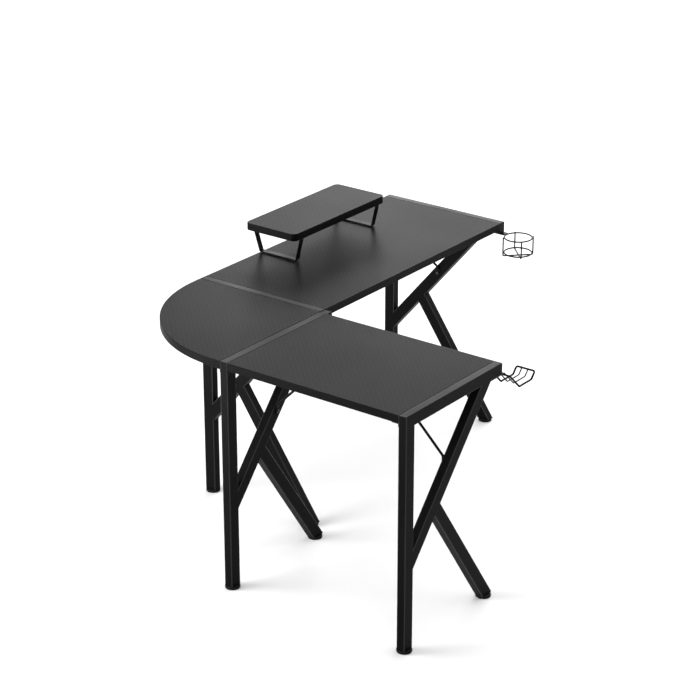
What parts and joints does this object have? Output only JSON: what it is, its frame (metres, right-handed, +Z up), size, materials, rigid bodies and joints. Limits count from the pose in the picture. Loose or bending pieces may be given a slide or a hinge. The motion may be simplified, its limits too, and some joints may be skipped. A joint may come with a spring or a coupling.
{
  "type": "corner desk",
  "caption": "L-shaped corner desk: three boards on K-shaped tube frames with levelling feet, a raised monitor shelf, a wire cup holder and a wire hook rack.",
  "frame": {"origin": "on the floor, under the centre of the whole desk's box", "axes": "+Z up, +X along the main wing from the corner to its free end, +Y to the back of the main wing; the return wing runs towards -Y on the sitter's left"},
  "size_m": [1.551, 1.203, 0.855],
  "materials": {
    "carbon_laminate": "satin laminate with a fine twill pattern",
    "edge_band": "satin",
    "frame_steel": "satin powder coat",
    "bracket_steel": "satin powder coat",
    "coated_wire": "semi-gloss coating",
    "black_fastener": "black oxide",
    "black_plastic": "matte moulded",
    "rubber_pad": "matte"
  },
  "bodies": {
    "desk": {"beam_end_caps": "black_plastic", "board_ledges": "bracket_steel", "corner_board": "carbon_laminate", "corner_board_edging": "edge_band", "corner_gusset": "bracket_steel", "corner_main_beam": "frame_steel", "corner_main_brace": "frame_steel", "corner_main_foot_tube": "frame_steel", "corner_main_leg": "frame_steel", "corner_main_strut": "bracket_steel", "corner_return_beam": "frame_steel", "corner_return_brace": "frame_steel", "corner_return_foot_tube": "frame_steel", "corner_return_leg": "frame_steel", "corner_return_strut": "bracket_steel", "cup_holder_cradle": "coated_wire", "cup_holder_plate": "coated_wire", "cup_holder_rings": "coated_wire", "foot_inserts": "black_plastic", "hook_inner_wires": "coated_wire", "hook_outer_wire": "coated_wire", "hook_plate": "coated_wire", "ledge_screws": "black_fastener", "m6_bolts": "black_fastener", "main_board": "carbon_laminate", "main_board_edging": "edge_band", "main_end_beam": "frame_steel", "main_end_brace": "frame_steel", "main_end_foot_tube": "frame_steel", "main_end_leg": "frame_steel", "main_end_strut": "bracket_steel", "main_rail": "bracket_steel", "rail_end_caps": "black_plastic", "rail_screws": "black_fastener", "return_board": "carbon_laminate", "return_board_edging": "edge_band", "return_end_beam": "frame_steel", "return_end_brace": "frame_steel", "return_end_foot_tube": "frame_steel", "return_end_leg": "frame_steel", "return_end_strut": "bracket_steel", "return_rail": "bracket_steel", "weld_nuts": "black_fastener"},
    "monitor_shelf": {"shelf_board": "carbon_laminate", "shelf_edging": "edge_band", "shelf_support_left": "bracket_steel", "shelf_support_right": "bracket_steel", "shelf_pads": "rubber_pad", "shelf_screws": "black_fastener"},
    "foot_main_end_outer": {"foot_main_end_outer": "black_plastic"},
    "foot_main_end_inner": {"foot_main_end_inner": "black_plastic"},
    "foot_corner_main_outer": {"foot_corner_main_outer": "black_plastic"},
    "foot_corner_main_inner": {"foot_corner_main_inner": "black_plastic"},
    "foot_corner_return_outer": {"foot_corner_return_outer": "black_plastic"},
    "foot_corner_return_inner": {"foot_corner_return_inner": "black_plastic"},
    "foot_return_end_outer": {"foot_return_end_outer": "black_plastic"},
    "foot_return_end_inner": {"foot_return_end_inner": "black_plastic"}
  },
  "joints": [
    {"name": "shelf_lift", "type": "slide", "parent": "desk", "child": "monitor_shelf", "axis": [0, 0, 1], "range_m": [0, 0.15]},
    {"name": "foot_main_end_outer_screw", "type": "slide", "parent": "desk", "child": "foot_main_end_outer", "axis": [0, 0, 1], "range_m": [-0.01, 0]},
    {"name": "foot_main_end_inner_screw", "type": "slide", "parent": "desk", "child": "foot_main_end_inner", "axis": [0, 0, 1], "range_m": [-0.01, 0]},
    {"name": "foot_corner_main_outer_screw", "type": "slide", "parent": "desk", "child": "foot_corner_main_outer", "axis": [0, 0, 1], "range_m": [-0.01, 0]},
    {"name": "foot_corner_main_inner_screw", "type": "slide", "parent": "desk", "child": "foot_corner_main_inner", "axis": [0, 0, 1], "range_m": [-0.01, 0]},
    {"name": "foot_corner_return_outer_screw", "type": "slide", "parent": "desk", "child": "foot_corner_return_outer", "axis": [0, 0, 1], "range_m": [-0.01, 0]},
    {"name": "foot_corner_return_inner_screw", "type": "slide", "parent": "desk", "child": "foot_corner_return_inner", "axis": [0, 0, 1], "range_m": [-0.01, 0]},
    {"name": "foot_return_end_outer_screw", "type": "slide", "parent": "desk", "child": "foot_return_end_outer", "axis": [0, 0, 1], "range_m": [-0.01, 0]},
    {"name": "foot_return_end_inner_screw", "type": "slide", "parent": "desk", "child": "foot_return_end_inner", "axis": [0, 0, 1], "range_m": [-0.01, 0]}
  ]
}
